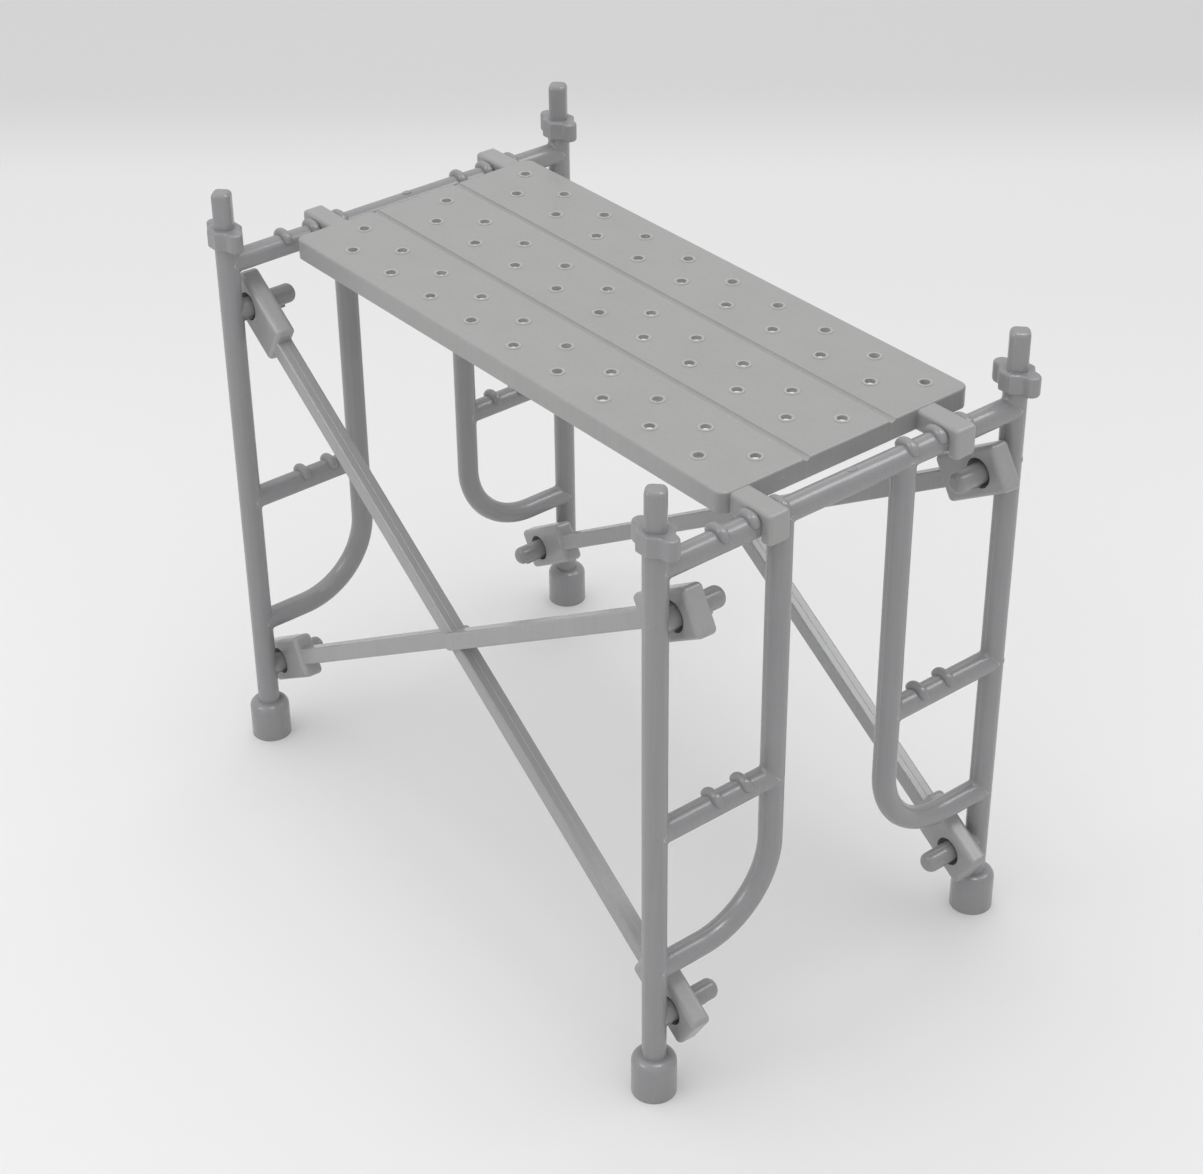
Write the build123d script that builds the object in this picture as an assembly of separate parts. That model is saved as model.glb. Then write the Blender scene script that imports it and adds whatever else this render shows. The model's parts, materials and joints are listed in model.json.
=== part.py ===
"""Miniature portal-frame scaffold bay: two end frames, two cross braces and one hooked deck.

Millimetres, +Z up.  +X runs along the deck from the left frame to the right frame, and -Y is
the front.  The origin is on the floor, in the middle of the plan.
"""
from build123d import *
from math import asin, atan2, cos, degrees, hypot, radians, sin
import os

# ---------------------------------------------------------------- driving dimensions
BAY_LENGTH = 152.4          # post axis to post axis along X, 1829 mm at 1:12
FRAME_WIDTH = 91.2          # post axis to post axis across one end frame
TUBE_D = 5.0                # posts, crossbars, rungs and stiffeners
CROSSBAR_Z = 125.1
RUNG_Z = 65.3

STIFFENER_Y = 15.7          # stiffener axis from the middle of its frame
STIFFENER_FOOT_Z = 31.8     # axis of the level run that comes back to the post
STIFFENER_BEND_R = 18.0

FOOT_D = 9.3
FOOT_H = 9.6
FOOT_ROUND = 1.9
SOCKET_D = 5.06             # takes the pin of a frame below
SOCKET_DEPTH = 8.5
TENON_D = 4.2               # hidden lower end of the post, in the roof of the foot

COLLAR_Z = 129.3            # underside of the collar, on the post's upper end
COLLAR_D = 6.9
COLLAR_H = 4.4
COLLAR_ROUND = 0.5
EAR_REACH = 5.8             # post axis to the end of an ear, along X
EAR_WIDTH = 3.3
PIN_D = 4.94
PIN_TOP_Z = 142.0
PIN_ROUND = 1.0
SPIGOT_D = 4.0              # hidden lower end of the pin, inside the collar

STOP_Y = 23.9               # middle stop of three, from the middle of the frame
STOP_PITCH = 7.4            # also the pitch of the two hook slots between the stops
STOP_RING_R = 2.05          # stop: a half ring of round wire over the tube
STOP_LIFT = 0.55            # middle of the ring above the tube's axis
STOP_WIRE_R = 1.0
STOP_WRAP = 200.0           # degrees of the tube that a stop covers

PEG_UPPER_Z = 113.3
PEG_LOWER_Z = 18.6
PEG_D = 4.4
PEG_REACH = 15.7            # post axis to the peg's tip
PEG_ROUND = 1.5
KEY_WIDTH = 1.4             # rib under each peg
KEY_DEPTH = 2.75            # from the peg's axis to the underside of the rib
KEY_SETBACK = 2.6           # from the peg's tip to the end of the rib

BAR_SIZE = 3.8              # square brace bar
BAR_ROUND = 0.45
ARM_STEP = 1.1              # how far an arm's round end stands off the diagonal's mid-plane
EYE_THICKNESS = 4.6
EYE_WIDTH = 10.0
EYE_TAIL = 12.0             # from the eye's hole towards the bar
EYE_NOSE = 6.3              # from the eye's hole to the free end
EYE_ROUND = 1.1
EYE_HOLE_D = 6.4
EYE_OFFSET = 6.4            # brace mid-plane inward from the line of the post axes

DECK_LENGTH = 140.0
DECK_WIDTH = 64.2
DECK_TOP_Z = 129.4
DECK_H = 4.5
DECK_SKIN = 0.8
DECK_WALL = 1.2
DECK_RIB = 0.7              # each panel's share of the rib under a groove
DECK_CORNER_R = 2.2
DECK_ROUND = 0.5
GROOVE_PITCH = 22.1
GROOVE_HALF = 0.9           # half the width of a round-bottomed groove
GROOVE_DEPTH = 0.65
HOLE_D = 2.1
HOLE_PITCH = 14.13
HOLE_ROW_SPACING = 7.94     # the two staggered rows of one panel
LONG_ROW_HOLES = 10
RIM_D = 3.3
RIM_H = 0.12

HOOK_WIDTH = 5.2
HOOK_WALL = 2.3             # outside the crossbar
HOOK_TOP_Z = 129.1
HOOK_BOTTOM_Z = 122.4
HOOK_ROUND = 0.9
HOOK_GAP = 0.09             # between the hook's saddle and the crossbar

# ---------------------------------------------------------------- derived places
TUBE_R = TUBE_D / 2
HALF_BAY = BAY_LENGTH / 2
HALF_FRAME = FRAME_WIDTH / 2
# The hooks of the deck are staggered by one slot from end to end, and they sit in the same
# slots of both frames, so the frames stand half a slot either side of the middle.
HALF_SLOT = STOP_PITCH / 2
ENDS = {"left": -1, "right": 1}
SIDES = {"front": -1, "rear": 1}
COLLAR_TOP_Z = COLLAR_Z + COLLAR_H
DECK_Y = HALF_SLOT
DECK_UNDER_Z = DECK_TOP_Z - DECK_H
GROOVE_R = (GROOVE_HALF ** 2 + GROOVE_DEPTH ** 2) / (2 * GROOVE_DEPTH)

nodes = {}


def frame_y(end):
    """Middle of one end frame across the bay."""
    return -HALF_SLOT * ENDS[end]


def post_xy(end, side):
    return HALF_BAY * ENDS[end], frame_y(end) + HALF_FRAME * SIDES[side]


def upright(x, y, z0, z1, radius):
    """Round bar from z0 to z1."""
    return Pos(x, y, (z0 + z1) / 2) * Cylinder(radius, z1 - z0)


def across(x, y0, y1, z, radius):
    """Round bar along Y from y0 to y1."""
    return Pos(x, (y0 + y1) / 2, z) * Rot(90, 0, 0) * Cylinder(radius, abs(y1 - y0))


def box(x0, x1, y0, y1, z0, z1):
    centre = Pos((x0 + x1) / 2, (y0 + y1) / 2, (z0 + z1) / 2)
    return centre * Box(abs(x1 - x0), abs(y1 - y0), abs(z1 - z0))


def one_solid(shape):
    """The largest solid of a cut, so that each piece stays a single body."""
    return max(shape.solids(), key=lambda solid: solid.volume)


# ---------------------------------------------------------------- end frames
def make_post(end, side):
    x, y = post_xy(end, side)
    tenon = upright(x, y, SOCKET_DEPTH, FOOT_H, TENON_D / 2)
    return upright(x, y, FOOT_H, COLLAR_Z, TUBE_R) + tenon


def make_foot(end, side):
    """Sleeve on the post's lower end, open below as a socket for another frame's pin."""
    x, y = post_xy(end, side)
    body = Cylinder(FOOT_D / 2, FOOT_H)
    body = fillet(body.edges().group_by(Axis.Z)[-1], FOOT_ROUND)
    body = Pos(x, y, FOOT_H / 2) * body
    socket = upright(x, y, -1, SOCKET_DEPTH, SOCKET_D / 2)
    return body - socket - upright(x, y, SOCKET_DEPTH, FOOT_H + 1, TENON_D / 2)


def make_collar(end, side):
    x, y = post_xy(end, side)
    outline = Circle(COLLAR_D / 2) + SlotOverall(2 * EAR_REACH, EAR_WIDTH)
    body = extrude(outline, COLLAR_H)
    rims = body.edges().filter_by(Plane.XY)
    body = fillet(rims, COLLAR_ROUND)
    return Pos(x, y, COLLAR_Z) * body - upright(x, y, COLLAR_Z - 1, PIN_TOP_Z, SPIGOT_D / 2)


def make_pin(end, side):
    """Stacking pin that stands on the collar, with a spigot through it to the post."""
    x, y = post_xy(end, side)
    pin = Cylinder(PIN_D / 2, PIN_TOP_Z - COLLAR_TOP_Z)
    pin = fillet(pin.edges().group_by(Axis.Z)[-1], PIN_ROUND)
    pin = Pos(x, y, (PIN_TOP_Z + COLLAR_TOP_Z) / 2) * pin
    return pin + upright(x, y, COLLAR_Z, COLLAR_TOP_Z, SPIGOT_D / 2)


def make_crossbar(end):
    x, front_y = post_xy(end, "front")
    _, rear_y = post_xy(end, "rear")
    bar = across(x, front_y, rear_y, CROSSBAR_Z, TUBE_R)
    for side in SIDES:
        bar -= nodes[f"{end}_{side}_post"]
    return one_solid(bar)


def make_stiffener(end, side):
    """Bent tube from the crossbar down and round to the post."""
    x, post_y = post_xy(end, side)
    y = frame_y(end) + STIFFENER_Y * SIDES[side]
    bend_y = y + STIFFENER_BEND_R * SIDES[side]
    bend_z = STIFFENER_FOOT_Z + STIFFENER_BEND_R
    drop = Line((x, y, CROSSBAR_Z), (x, y, bend_z))
    corner = (y + (1 - cos(radians(45))) * STIFFENER_BEND_R * SIDES[side],
              bend_z - sin(radians(45)) * STIFFENER_BEND_R)
    bend = ThreePointArc((x, y, bend_z), (x, *corner), (x, bend_y, STIFFENER_FOOT_Z))
    run = Line((x, bend_y, STIFFENER_FOOT_Z), (x, post_y, STIFFENER_FOOT_Z))
    section = Plane((x, y, CROSSBAR_Z), z_dir=(0, 0, -1)) * Circle(TUBE_R)
    tube = sweep(section, path=Wire([drop, bend, run]))
    bar = across(x, frame_y(end) - HALF_FRAME, frame_y(end) + HALF_FRAME, CROSSBAR_Z, TUBE_R)
    return one_solid(tube - bar - nodes[f"{end}_{side}_post"])


def make_rung(end, side):
    x, post_y = post_xy(end, side)
    inner_y = frame_y(end) + STIFFENER_Y * SIDES[side]
    bar = across(x, inner_y, post_y, RUNG_Z, TUBE_R)
    stiffener = upright(x, inner_y, RUNG_Z - 2 * TUBE_D, RUNG_Z + 2 * TUBE_D, TUBE_R)
    return one_solid(bar - stiffener - nodes[f"{end}_{side}_post"])


def make_stop(x, y, z):
    """Half ring of round wire over the top of a tube that runs along Y."""
    lead = 90 - STOP_WRAP / 2
    middle_z = z + STOP_LIFT
    start = (x + STOP_RING_R * cos(radians(lead)), y, middle_z + STOP_RING_R * sin(radians(lead)))
    end = (x - STOP_RING_R * cos(radians(lead)), y, start[2])
    path = ThreePointArc(start, (x, y, middle_z + STOP_RING_R), end)
    wire = sweep(Plane(path @ 0, z_dir=path % 0) * Circle(STOP_WIRE_R), path=path)
    for tip in (start, end):
        wire += Pos(*tip) * Sphere(STOP_WIRE_R)
    return one_solid(wire - across(x, y - 3 * STOP_WIRE_R, y + 3 * STOP_WIRE_R, z, TUBE_R))


def make_stops(end, z, steps):
    """One group of stops, the same on both sides of the frame."""
    x = HALF_BAY * ENDS[end]
    stops = []
    for side, sign in SIDES.items():
        for step in steps:
            stop = make_stop(x, frame_y(end) + sign * (STOP_Y + step * STOP_PITCH), z)
            stops.append(one_solid(stop - nodes[f"{end}_{side}_stiffener"]))
    return Compound(stops)


def make_peg(end, side, z):
    """Round peg with a domed tip and a rib under it, pointing into the bay."""
    x, post_y = post_xy(end, side)
    inward = -SIDES[side]
    peg = Cylinder(PEG_D / 2, PEG_REACH)
    peg = fillet(peg.edges().group_by(Axis.Z)[-1], PEG_ROUND)
    peg = Pos(x, post_y + inward * PEG_REACH / 2, z) * Rot(-90 * inward, 0, 0) * peg
    key = box(x - KEY_WIDTH / 2, x + KEY_WIDTH / 2, post_y,
              post_y + inward * (PEG_REACH - KEY_SETBACK), z - KEY_DEPTH, z)
    return one_solid(peg + key - nodes[f"{end}_{side}_post"])


for end in ENDS:
    for side in SIDES:
        nodes[f"{end}_{side}_post"] = make_post(end, side)
        nodes[f"{end}_{side}_foot"] = make_foot(end, side)
        nodes[f"{end}_{side}_collar"] = make_collar(end, side)
        nodes[f"{end}_{side}_pin"] = make_pin(end, side)
        nodes[f"{end}_{side}_stiffener"] = make_stiffener(end, side)
        nodes[f"{end}_{side}_rung"] = make_rung(end, side)
        nodes[f"{end}_{side}_upper_peg"] = make_peg(end, side, PEG_UPPER_Z)
        nodes[f"{end}_{side}_lower_peg"] = make_peg(end, side, PEG_LOWER_Z)
    nodes[f"{end}_crossbar"] = make_crossbar(end)
    nodes[f"{end}_crossbar_stops"] = make_stops(end, CROSSBAR_Z, (-1, 0, 1))
    nodes[f"{end}_rung_stops"] = make_stops(end, RUNG_Z, (0, 1))


# ---------------------------------------------------------------- cross braces
# A brace is drawn about its own middle in the XZ plane, with -Y as its outer face, and is
# then turned to the line of the posts, which stand half a slot apart at the two ends.
RACK_ANGLE = degrees(atan2(-2 * HALF_SLOT, BAY_LENGTH))
EYE_X = hypot(HALF_BAY, HALF_SLOT)
EYE_Z = (PEG_UPPER_Z - PEG_LOWER_Z) / 2
BAR_ANGLE = degrees(atan2(EYE_Z, EYE_X))
BRACE_MID_Z = (PEG_UPPER_Z + PEG_LOWER_Z) / 2
BAR_HALF = hypot(EYE_X, EYE_Z)
BAR_END = BAR_HALF - EYE_TAIL + EYE_ROUND     # just inside the rounded end of an eye block


def along_bar(angle, shape):
    """Turn a shape drawn along +X so that it runs up at an angle in the XZ plane."""
    return Rot(0, -angle, 0) * shape


def square_bar(x0, x1):
    half = BAR_SIZE / 2
    bar = box(x0, x1, -half, half, -half, half)
    return fillet(bar.edges().filter_by(Axis.X), BAR_ROUND)


def eye_block(centre):
    """Flat block round one peg, drawn at the end of a bar that runs along +X."""
    half = EYE_WIDTH / 2
    block = box(centre - EYE_TAIL, centre + EYE_NOSE,
                -EYE_THICKNESS / 2, EYE_THICKNESS / 2, -half, half)
    block = fillet(block.edges(), EYE_ROUND)
    return block - Pos(centre, 0, 0) * Rot(90, 0, 0) * Cylinder(EYE_HOLE_D / 2, 2 * EYE_THICKNESS)


def arm(sign):
    """Half of the crossing bar: its eye end is on the mid-plane, its round end stands off it."""
    nose = Rot(90, 0, 0) * Cylinder(BAR_SIZE / 2, BAR_SIZE)
    nose = fillet(nose.edges().filter_by(GeomType.CIRCLE), BAR_ROUND)
    bar = square_bar(0, BAR_END) + nose
    lean = degrees(asin(sign * ARM_STEP / BAR_END))
    bar = Pos(0, -sign * ARM_STEP, 0) * Rot(0, 0, lean) * bar
    return along_bar(BAR_ANGLE if sign > 0 else BAR_ANGLE + 180, bar)


def make_brace():
    """The pieces of one brace about its own middle, by name."""
    pieces = {}
    eyes = Part()
    for end, end_sign in ENDS.items():
        for level, level_sign in (("lower", -1), ("upper", 1)):
            direction = BAR_ANGLE * level_sign * end_sign + (0 if end_sign > 0 else 180)
            eye = along_bar(direction, eye_block(BAR_HALF))
            pieces[f"{end}_{level}_eye"] = eye
            eyes += eye
    diagonal = along_bar(-BAR_ANGLE, square_bar(-BAR_END, BAR_END))
    upper = arm(1)
    pieces["diagonal"] = one_solid(diagonal - eyes)
    pieces["upper_arm"] = one_solid(upper - diagonal - eyes)
    pieces["lower_arm"] = one_solid(arm(-1) - diagonal - upper - eyes)
    return pieces


brace_pieces = make_brace()
front_place = Pos(0, -HALF_FRAME + EYE_OFFSET / cos(radians(RACK_ANGLE)), BRACE_MID_Z)
front_turn = Rot(0, 0, RACK_ANGLE)
for name, shape in brace_pieces.items():
    placed = front_place * front_turn * shape
    nodes[f"front_brace_{name}"] = placed
    # The rear brace is the same part turned end for end, so its left is the front's right.
    rear_name = name.replace("left", "swap").replace("right", "left").replace("swap", "right")
    nodes[f"rear_brace_{rear_name}"] = Rot(0, 0, 180) * placed


# ---------------------------------------------------------------- deck
def hole_places(panel):
    """Two staggered rows, the longer one to the rear of the panel's middle."""
    middle = DECK_Y + panel * GROOVE_PITCH
    for row, count in ((1, LONG_ROW_HOLES), (-1, LONG_ROW_HOLES - 1)):
        for index in range(count):
            yield ((index - (count - 1) / 2) * HOLE_PITCH, middle + row * HOLE_ROW_SPACING / 2)


def make_panel(panel):
    """One of three perforated panels, hollow below; panel is -1, 0 or 1 from front to rear."""
    half_length = DECK_LENGTH / 2
    slab = extrude(RectangleRounded(DECK_LENGTH, DECK_WIDTH, DECK_CORNER_R), DECK_H)
    slab = fillet(slab.edges().group_by(Axis.Z)[-1], DECK_ROUND)
    slab = Pos(0, DECK_Y, DECK_UNDER_Z) * slab
    y0 = DECK_Y + (panel - 0.5) * GROOVE_PITCH if panel > -1 else DECK_Y - DECK_WIDTH / 2
    y1 = DECK_Y + (panel + 0.5) * GROOVE_PITCH if panel < 1 else DECK_Y + DECK_WIDTH / 2
    slab &= box(-half_length, half_length, y0, y1, DECK_UNDER_Z, DECK_TOP_Z)
    for edge_y, is_groove in ((y0, panel > -1), (y1, panel < 1)):
        if is_groove:
            groove = Rot(0, 90, 0) * Cylinder(GROOVE_R, DECK_LENGTH + 1)
            slab -= Pos(0, edge_y, DECK_TOP_Z - GROOVE_DEPTH + GROOVE_R) * groove
    wall0 = DECK_RIB if panel > -1 else DECK_WALL
    wall1 = DECK_RIB if panel < 1 else DECK_WALL
    slab -= box(DECK_WALL - half_length, half_length - DECK_WALL, y0 + wall0, y1 - wall1,
                DECK_UNDER_Z - 1, DECK_TOP_Z - DECK_SKIN)
    for x, y in hole_places(panel):
        slab += upright(x, y, DECK_TOP_Z - DECK_SKIN / 2, DECK_TOP_Z + RIM_H, RIM_D / 2)
    for x, y in hole_places(panel):
        slab -= upright(x, y, DECK_UNDER_Z - 1, DECK_TOP_Z + 1, HOLE_D / 2)
    return one_solid(slab)


def make_hook(end, side):
    """Block hook that hangs the deck on a crossbar, with a saddle open below."""
    sign = ENDS[end]
    y = frame_y(end) + SIDES[side] * STOP_Y + HALF_SLOT
    saddle_r = TUBE_R + HOOK_GAP
    inner_x = sign * DECK_LENGTH / 2
    bar_x = sign * HALF_BAY
    outer_x = bar_x + sign * (saddle_r + HOOK_WALL)
    low_y, high_y = y - HOOK_WIDTH / 2, y + HOOK_WIDTH / 2
    block = box(inner_x, outer_x, low_y, high_y, HOOK_BOTTOM_Z, HOOK_TOP_Z)
    deck_edges = 4
    free_edges = block.edges().sort_by(Axis.X, reverse=sign < 0)[deck_edges:]
    block = fillet(free_edges, HOOK_ROUND)
    block -= across(bar_x, low_y - 1, high_y + 1, CROSSBAR_Z, saddle_r)
    block -= box(bar_x - saddle_r, bar_x + saddle_r, low_y - 1, high_y + 1,
                 HOOK_BOTTOM_Z - 1, CROSSBAR_Z)
    block -= box(inner_x - sign, bar_x, low_y - 1, high_y + 1, HOOK_BOTTOM_Z - 1, DECK_UNDER_Z)
    return one_solid(block)


for name, panel in (("front", -1), ("middle", 0), ("rear", 1)):
    nodes[f"deck_{name}_panel"] = make_panel(panel)
for end in ENDS:
    for side in SIDES:
        nodes[f"deck_{end}_{side}_hook"] = make_hook(end, side)


# ---------------------------------------------------------------- files
os.makedirs("parts", exist_ok=True)
for name, shape in nodes.items():
    export_step(shape, f"parts/{name}.step")
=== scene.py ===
import json
from math import cos, pi, radians, sin, sqrt

import bmesh
import bpy
from bpy.props import FloatProperty, FloatVectorProperty, IntProperty, PointerProperty
from mathutils import Matrix, Vector


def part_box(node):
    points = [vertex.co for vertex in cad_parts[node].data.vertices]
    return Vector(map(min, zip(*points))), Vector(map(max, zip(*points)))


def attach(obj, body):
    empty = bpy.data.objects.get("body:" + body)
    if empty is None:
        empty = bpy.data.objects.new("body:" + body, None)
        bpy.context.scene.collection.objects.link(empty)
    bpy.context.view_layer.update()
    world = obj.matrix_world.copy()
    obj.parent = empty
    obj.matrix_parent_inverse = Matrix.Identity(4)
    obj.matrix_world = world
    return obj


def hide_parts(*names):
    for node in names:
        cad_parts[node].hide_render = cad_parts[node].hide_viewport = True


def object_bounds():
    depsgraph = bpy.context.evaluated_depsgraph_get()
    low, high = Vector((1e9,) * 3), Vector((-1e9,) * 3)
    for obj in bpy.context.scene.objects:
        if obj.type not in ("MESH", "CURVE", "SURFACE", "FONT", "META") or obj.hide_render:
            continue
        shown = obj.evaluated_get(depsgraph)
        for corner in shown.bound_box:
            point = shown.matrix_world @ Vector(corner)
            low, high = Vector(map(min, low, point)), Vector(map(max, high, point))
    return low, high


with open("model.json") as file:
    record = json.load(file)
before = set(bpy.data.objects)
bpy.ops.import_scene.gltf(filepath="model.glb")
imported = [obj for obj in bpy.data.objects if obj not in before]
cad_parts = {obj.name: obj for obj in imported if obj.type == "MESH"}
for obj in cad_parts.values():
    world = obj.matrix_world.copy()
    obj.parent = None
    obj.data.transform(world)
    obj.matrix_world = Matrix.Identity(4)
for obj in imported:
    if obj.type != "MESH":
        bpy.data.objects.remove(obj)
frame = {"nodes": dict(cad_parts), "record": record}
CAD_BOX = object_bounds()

bl_info = {
    "name": "Miniature scaffold bay",
    "version": (1, 0, 0),
    "blender": (4, 5, 0),
    "location": "3D View > Sidebar > Scaffold",
    "description": "Moulded details, plastic finishes and a studio for the scaffold bay",
    "category": "Object",
}

MM = 0.001
ENDS = {"left": -1, "right": 1}
SIDES = {"front": -1, "rear": 1}
LEVELS = ("upper", "lower")


# ---------------------------------------------------------------- what a user would change
def size(name, about, millimetres):
    """A length that is given in millimetres and kept in metres."""
    return FloatProperty(name=name, description=about, default=millimetres * MM,
                         unit="LENGTH", precision=5)


def colour(name, about, value):
    """A colour as linear red, green and blue."""
    return FloatVectorProperty(name=name, description=about, default=value,
                               subtype="COLOR", size=3, min=0, max=1)


class ScaffoldSizes(bpy.types.PropertyGroup):
    fillet: size("Fillet", "Radius of the fillets where two tubes meet", 1.0)
    seam_width: size("Seam width", "Width of a raised mould parting line", 0.2)
    seam_height: size("Seam height", "How far a parting line stands up", 0.05)
    bar: size("Brace bar", "Side of the square brace bars", 3.8)
    arm_step: size("Arm step", "How far an arm stands off the diagonal at the crossing", 1.1)
    collar: size("Collar", "Radius of the eight-sided body of a collar", 3.5)
    ear_width: size("Ear width", "Width of the two ears of a collar", 3.3)
    bend: size("Stiffener bend", "Radius of the bend of a stiffener's axis", 18.0)
    peg_round: size("Peg round", "Rounding of a peg's tip", 1.5)
    round_edge: size("Round edge", "Rounding of the edges of the collars", 0.65)
    stop_pitch: size("Stop pitch", "Distance between neighbouring stops", 7.4)
    stop_wire: size("Stop wire", "Radius of a stop's section", 1.1)
    stop_ring: size("Stop ring", "Radius of the ring that a stop follows", 2.3)
    stop_lift: size("Stop lift", "Middle of that ring above the tube's axis", 0.35)
    pin_dome: size("Pin dome", "Rounding of the top of the stacking pins", 1.15)
    rim_width: size("Rim width", "Width of the raised rim round a deck hole", 0.62)
    rim_height: size("Rim height", "Height of the raised rim round a deck hole", 0.14)
    hole: size("Deck hole", "Radius of the deck holes", 1.05)
    hole_pitch: size("Hole pitch", "Distance between deck holes in a row", 14.13)
    row_gap: size("Row gap", "Distance between the two rows of a panel", 7.94)
    row_holes: IntProperty(name="Row holes", description="Holes in the longer row of a panel",
                           subtype="UNSIGNED", default=10, min=2)


class ScaffoldFinish(bpy.types.PropertyGroup):
    frame_colour: colour("Frame colour", "Plastic of the end frames", (0.278, 0.278, 0.285))
    brace_colour: colour("Brace colour", "Plastic of the cross braces", (0.330, 0.330, 0.334))
    deck_colour: colour("Deck colour", "Plastic of the deck", (0.340, 0.340, 0.337))
    # The raised rims are modelled; their paler colour is a painted highlight, the light the rims
    # catch.
    rim_highlight_colour: colour("Rim colour", "Paler plastic round the deck holes", (0.44, 0.435, 0.415))
    # Paler colour of the edge band: partly edge wear, partly a painted highlight along the edges.
    wear_and_highlight_colour: colour("Worn colour", "Paler plastic on edges and rims", (0.56, 0.56, 0.55))
    grain: size("Grain", "Size of the fine moulded grain", 0.22)
    # Width of that edge band of wear and painted highlight.
    wear_and_highlight_width: size("Edge wear", "Width of the paler band along sharp edges", 0.16)


class ScaffoldStudio(bpy.types.PropertyGroup):
    camera_place: FloatVectorProperty(
        name="Camera place", description="Where the camera stands", size=3,
        subtype="TRANSLATION", unit="LENGTH", default=(0.37284, -0.29967, 0.37645))
    azimuth: FloatProperty(name="Azimuth", description="Turn of the camera about Z",
                           subtype="ANGLE", default=radians(51.29))
    elevation: FloatProperty(name="Elevation", description="How far the camera looks down",
                             subtype="ANGLE", default=radians(33.05))
    roll: FloatProperty(name="Roll", description="Turn of the camera about its own line",
                        subtype="ANGLE", default=radians(-0.61))
    lens: FloatProperty(name="Lens", description="Focal length in millimetres",
                        unit="CAMERA", default=78.39)
    shift_x: FloatProperty(name="Shift X", description="Sideways shift of the lens, in widths",
                           default=0.0014, precision=4)
    shift_y: FloatProperty(name="Shift Y", description="Upward shift of the lens, in widths",
                           default=-0.0095, precision=4)
    floor_colour: colour("Floor colour", "Paper under the object", (0.84, 0.84, 0.84))
    # Painted shade on the paper: it darkens to these two tones behind the object.
    middle_shade_colour: colour("Middle colour", "Paper just behind the object", (0.75, 0.75, 0.75))
    far_shade_colour: colour("Far colour", "Paper behind the object", (0.63, 0.63, 0.63))


# ---------------------------------------------------------------- shader effects
def new_group(name, inputs, outputs):
    """An empty node group with float sockets, and its input and output nodes."""
    tree = bpy.data.node_groups.new(name, "ShaderNodeTree")
    for way, sockets in (("INPUT", inputs), ("OUTPUT", outputs)):
        for socket in sockets:
            tree.interface.new_socket(name=socket, in_out=way, socket_type="NodeSocketFloat")
    return tree, tree.nodes.new("NodeGroupInput"), tree.nodes.new("NodeGroupOutput")


def add_node(tree, kind, values=None, **settings):
    """A node with its settings; each value is linked if it is a socket, and set if not."""
    node = tree.nodes.new(kind)
    for name, value in settings.items():
        setattr(node, name, value)
    for socket, value in (values or {}).items():
        if isinstance(value, bpy.types.NodeSocket):
            tree.links.new(value, node.inputs[socket])
        else:
            node.inputs[socket].default_value = value
    return node


def maths(tree, operation, first, second):
    """The result of a Math node on two numbers or sockets."""
    return add_node(tree, "ShaderNodeMath", {0: first, 1: second},
                    operation=operation).outputs[0]


def remap(tree, value, low, high, to_low, to_high):
    """A value's range from low to high, stretched to another range and clamped to it."""
    node = add_node(tree, "ShaderNodeMapRange", {
        "Value": value, "From Min": low, "From Max": high, "To Min": to_low, "To Max": to_high})
    return node.outputs["Result"]


def noise(tree, scale, detail=2.0, stretch=(1, 1, 1)):
    """Noise in the part's own coordinates; scale is a number or a socket, in turns per metre."""
    place = add_node(tree, "ShaderNodeTexCoord").outputs["Object"]
    if stretch != (1, 1, 1):
        place = add_node(tree, "ShaderNodeMapping",
                         {"Vector": place, "Scale": stretch}).outputs["Vector"]
    return add_node(tree, "ShaderNodeTexNoise",
                    {"Vector": place, "Scale": scale, "Detail": detail}).outputs["Fac"]


WAVE_SCALE = 0.11               # waves of the surface for each grain
WAVE_HEIGHT = 2.2               # height of a wave against that of a grain


def grain_group():
    """Fine grain over a slow waviness, as a mould leaves on plastic."""
    tree, enter, leave = new_group("mould_grain", ["Size"], ["Height", "Mask"])
    fine = maths(tree, "DIVIDE", 1.0, enter.outputs["Size"])
    slow = maths(tree, "DIVIDE", WAVE_SCALE, enter.outputs["Size"])
    fine_noise = noise(tree, fine, 3.0)
    slow_noise = noise(tree, slow, 1.0)
    height = maths(tree, "MULTIPLY_ADD", slow_noise, WAVE_HEIGHT)
    tree.links.new(fine_noise, height.node.inputs[2])
    tree.links.new(height, leave.inputs["Height"])
    tree.links.new(fine_noise, leave.inputs["Mask"])
    return tree


def mottle_group():
    """Slow change of shade over the moulding, as a factor near 1."""
    tree, enter, leave = new_group("soft_mottle", ["Size", "Amount"], ["Shade"])
    turns = maths(tree, "DIVIDE", 1.0, enter.outputs["Size"])
    centred = maths(tree, "SUBTRACT", noise(tree, turns, 3.0), 0.5)
    scaled = maths(tree, "MULTIPLY", centred, enter.outputs["Amount"])
    tree.links.new(maths(tree, "ADD", scaled, 1.0), leave.inputs["Shade"])
    return tree


def edge_group():
    """Mask that is 1 on sharp outer edges and 0 on flat faces, for a paler band that is partly edge
    wear and partly a painted highlight.
    """
    tree, enter, leave = new_group("worn_and_highlit_edges", ["Width"], ["Mask"])
    bevel = add_node(tree, "ShaderNodeBevel", {"Radius": enter.outputs["Width"]}, samples=4)
    face = add_node(tree, "ShaderNodeNewGeometry").outputs["Normal"]
    match = add_node(tree, "ShaderNodeVectorMath", {0: bevel.outputs["Normal"], 1: face},
                     operation="DOT_PRODUCT").outputs["Value"]
    tree.links.new(remap(tree, match, 0.995, 0.86, 0.0, 1.0), leave.inputs["Mask"])
    return tree


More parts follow.
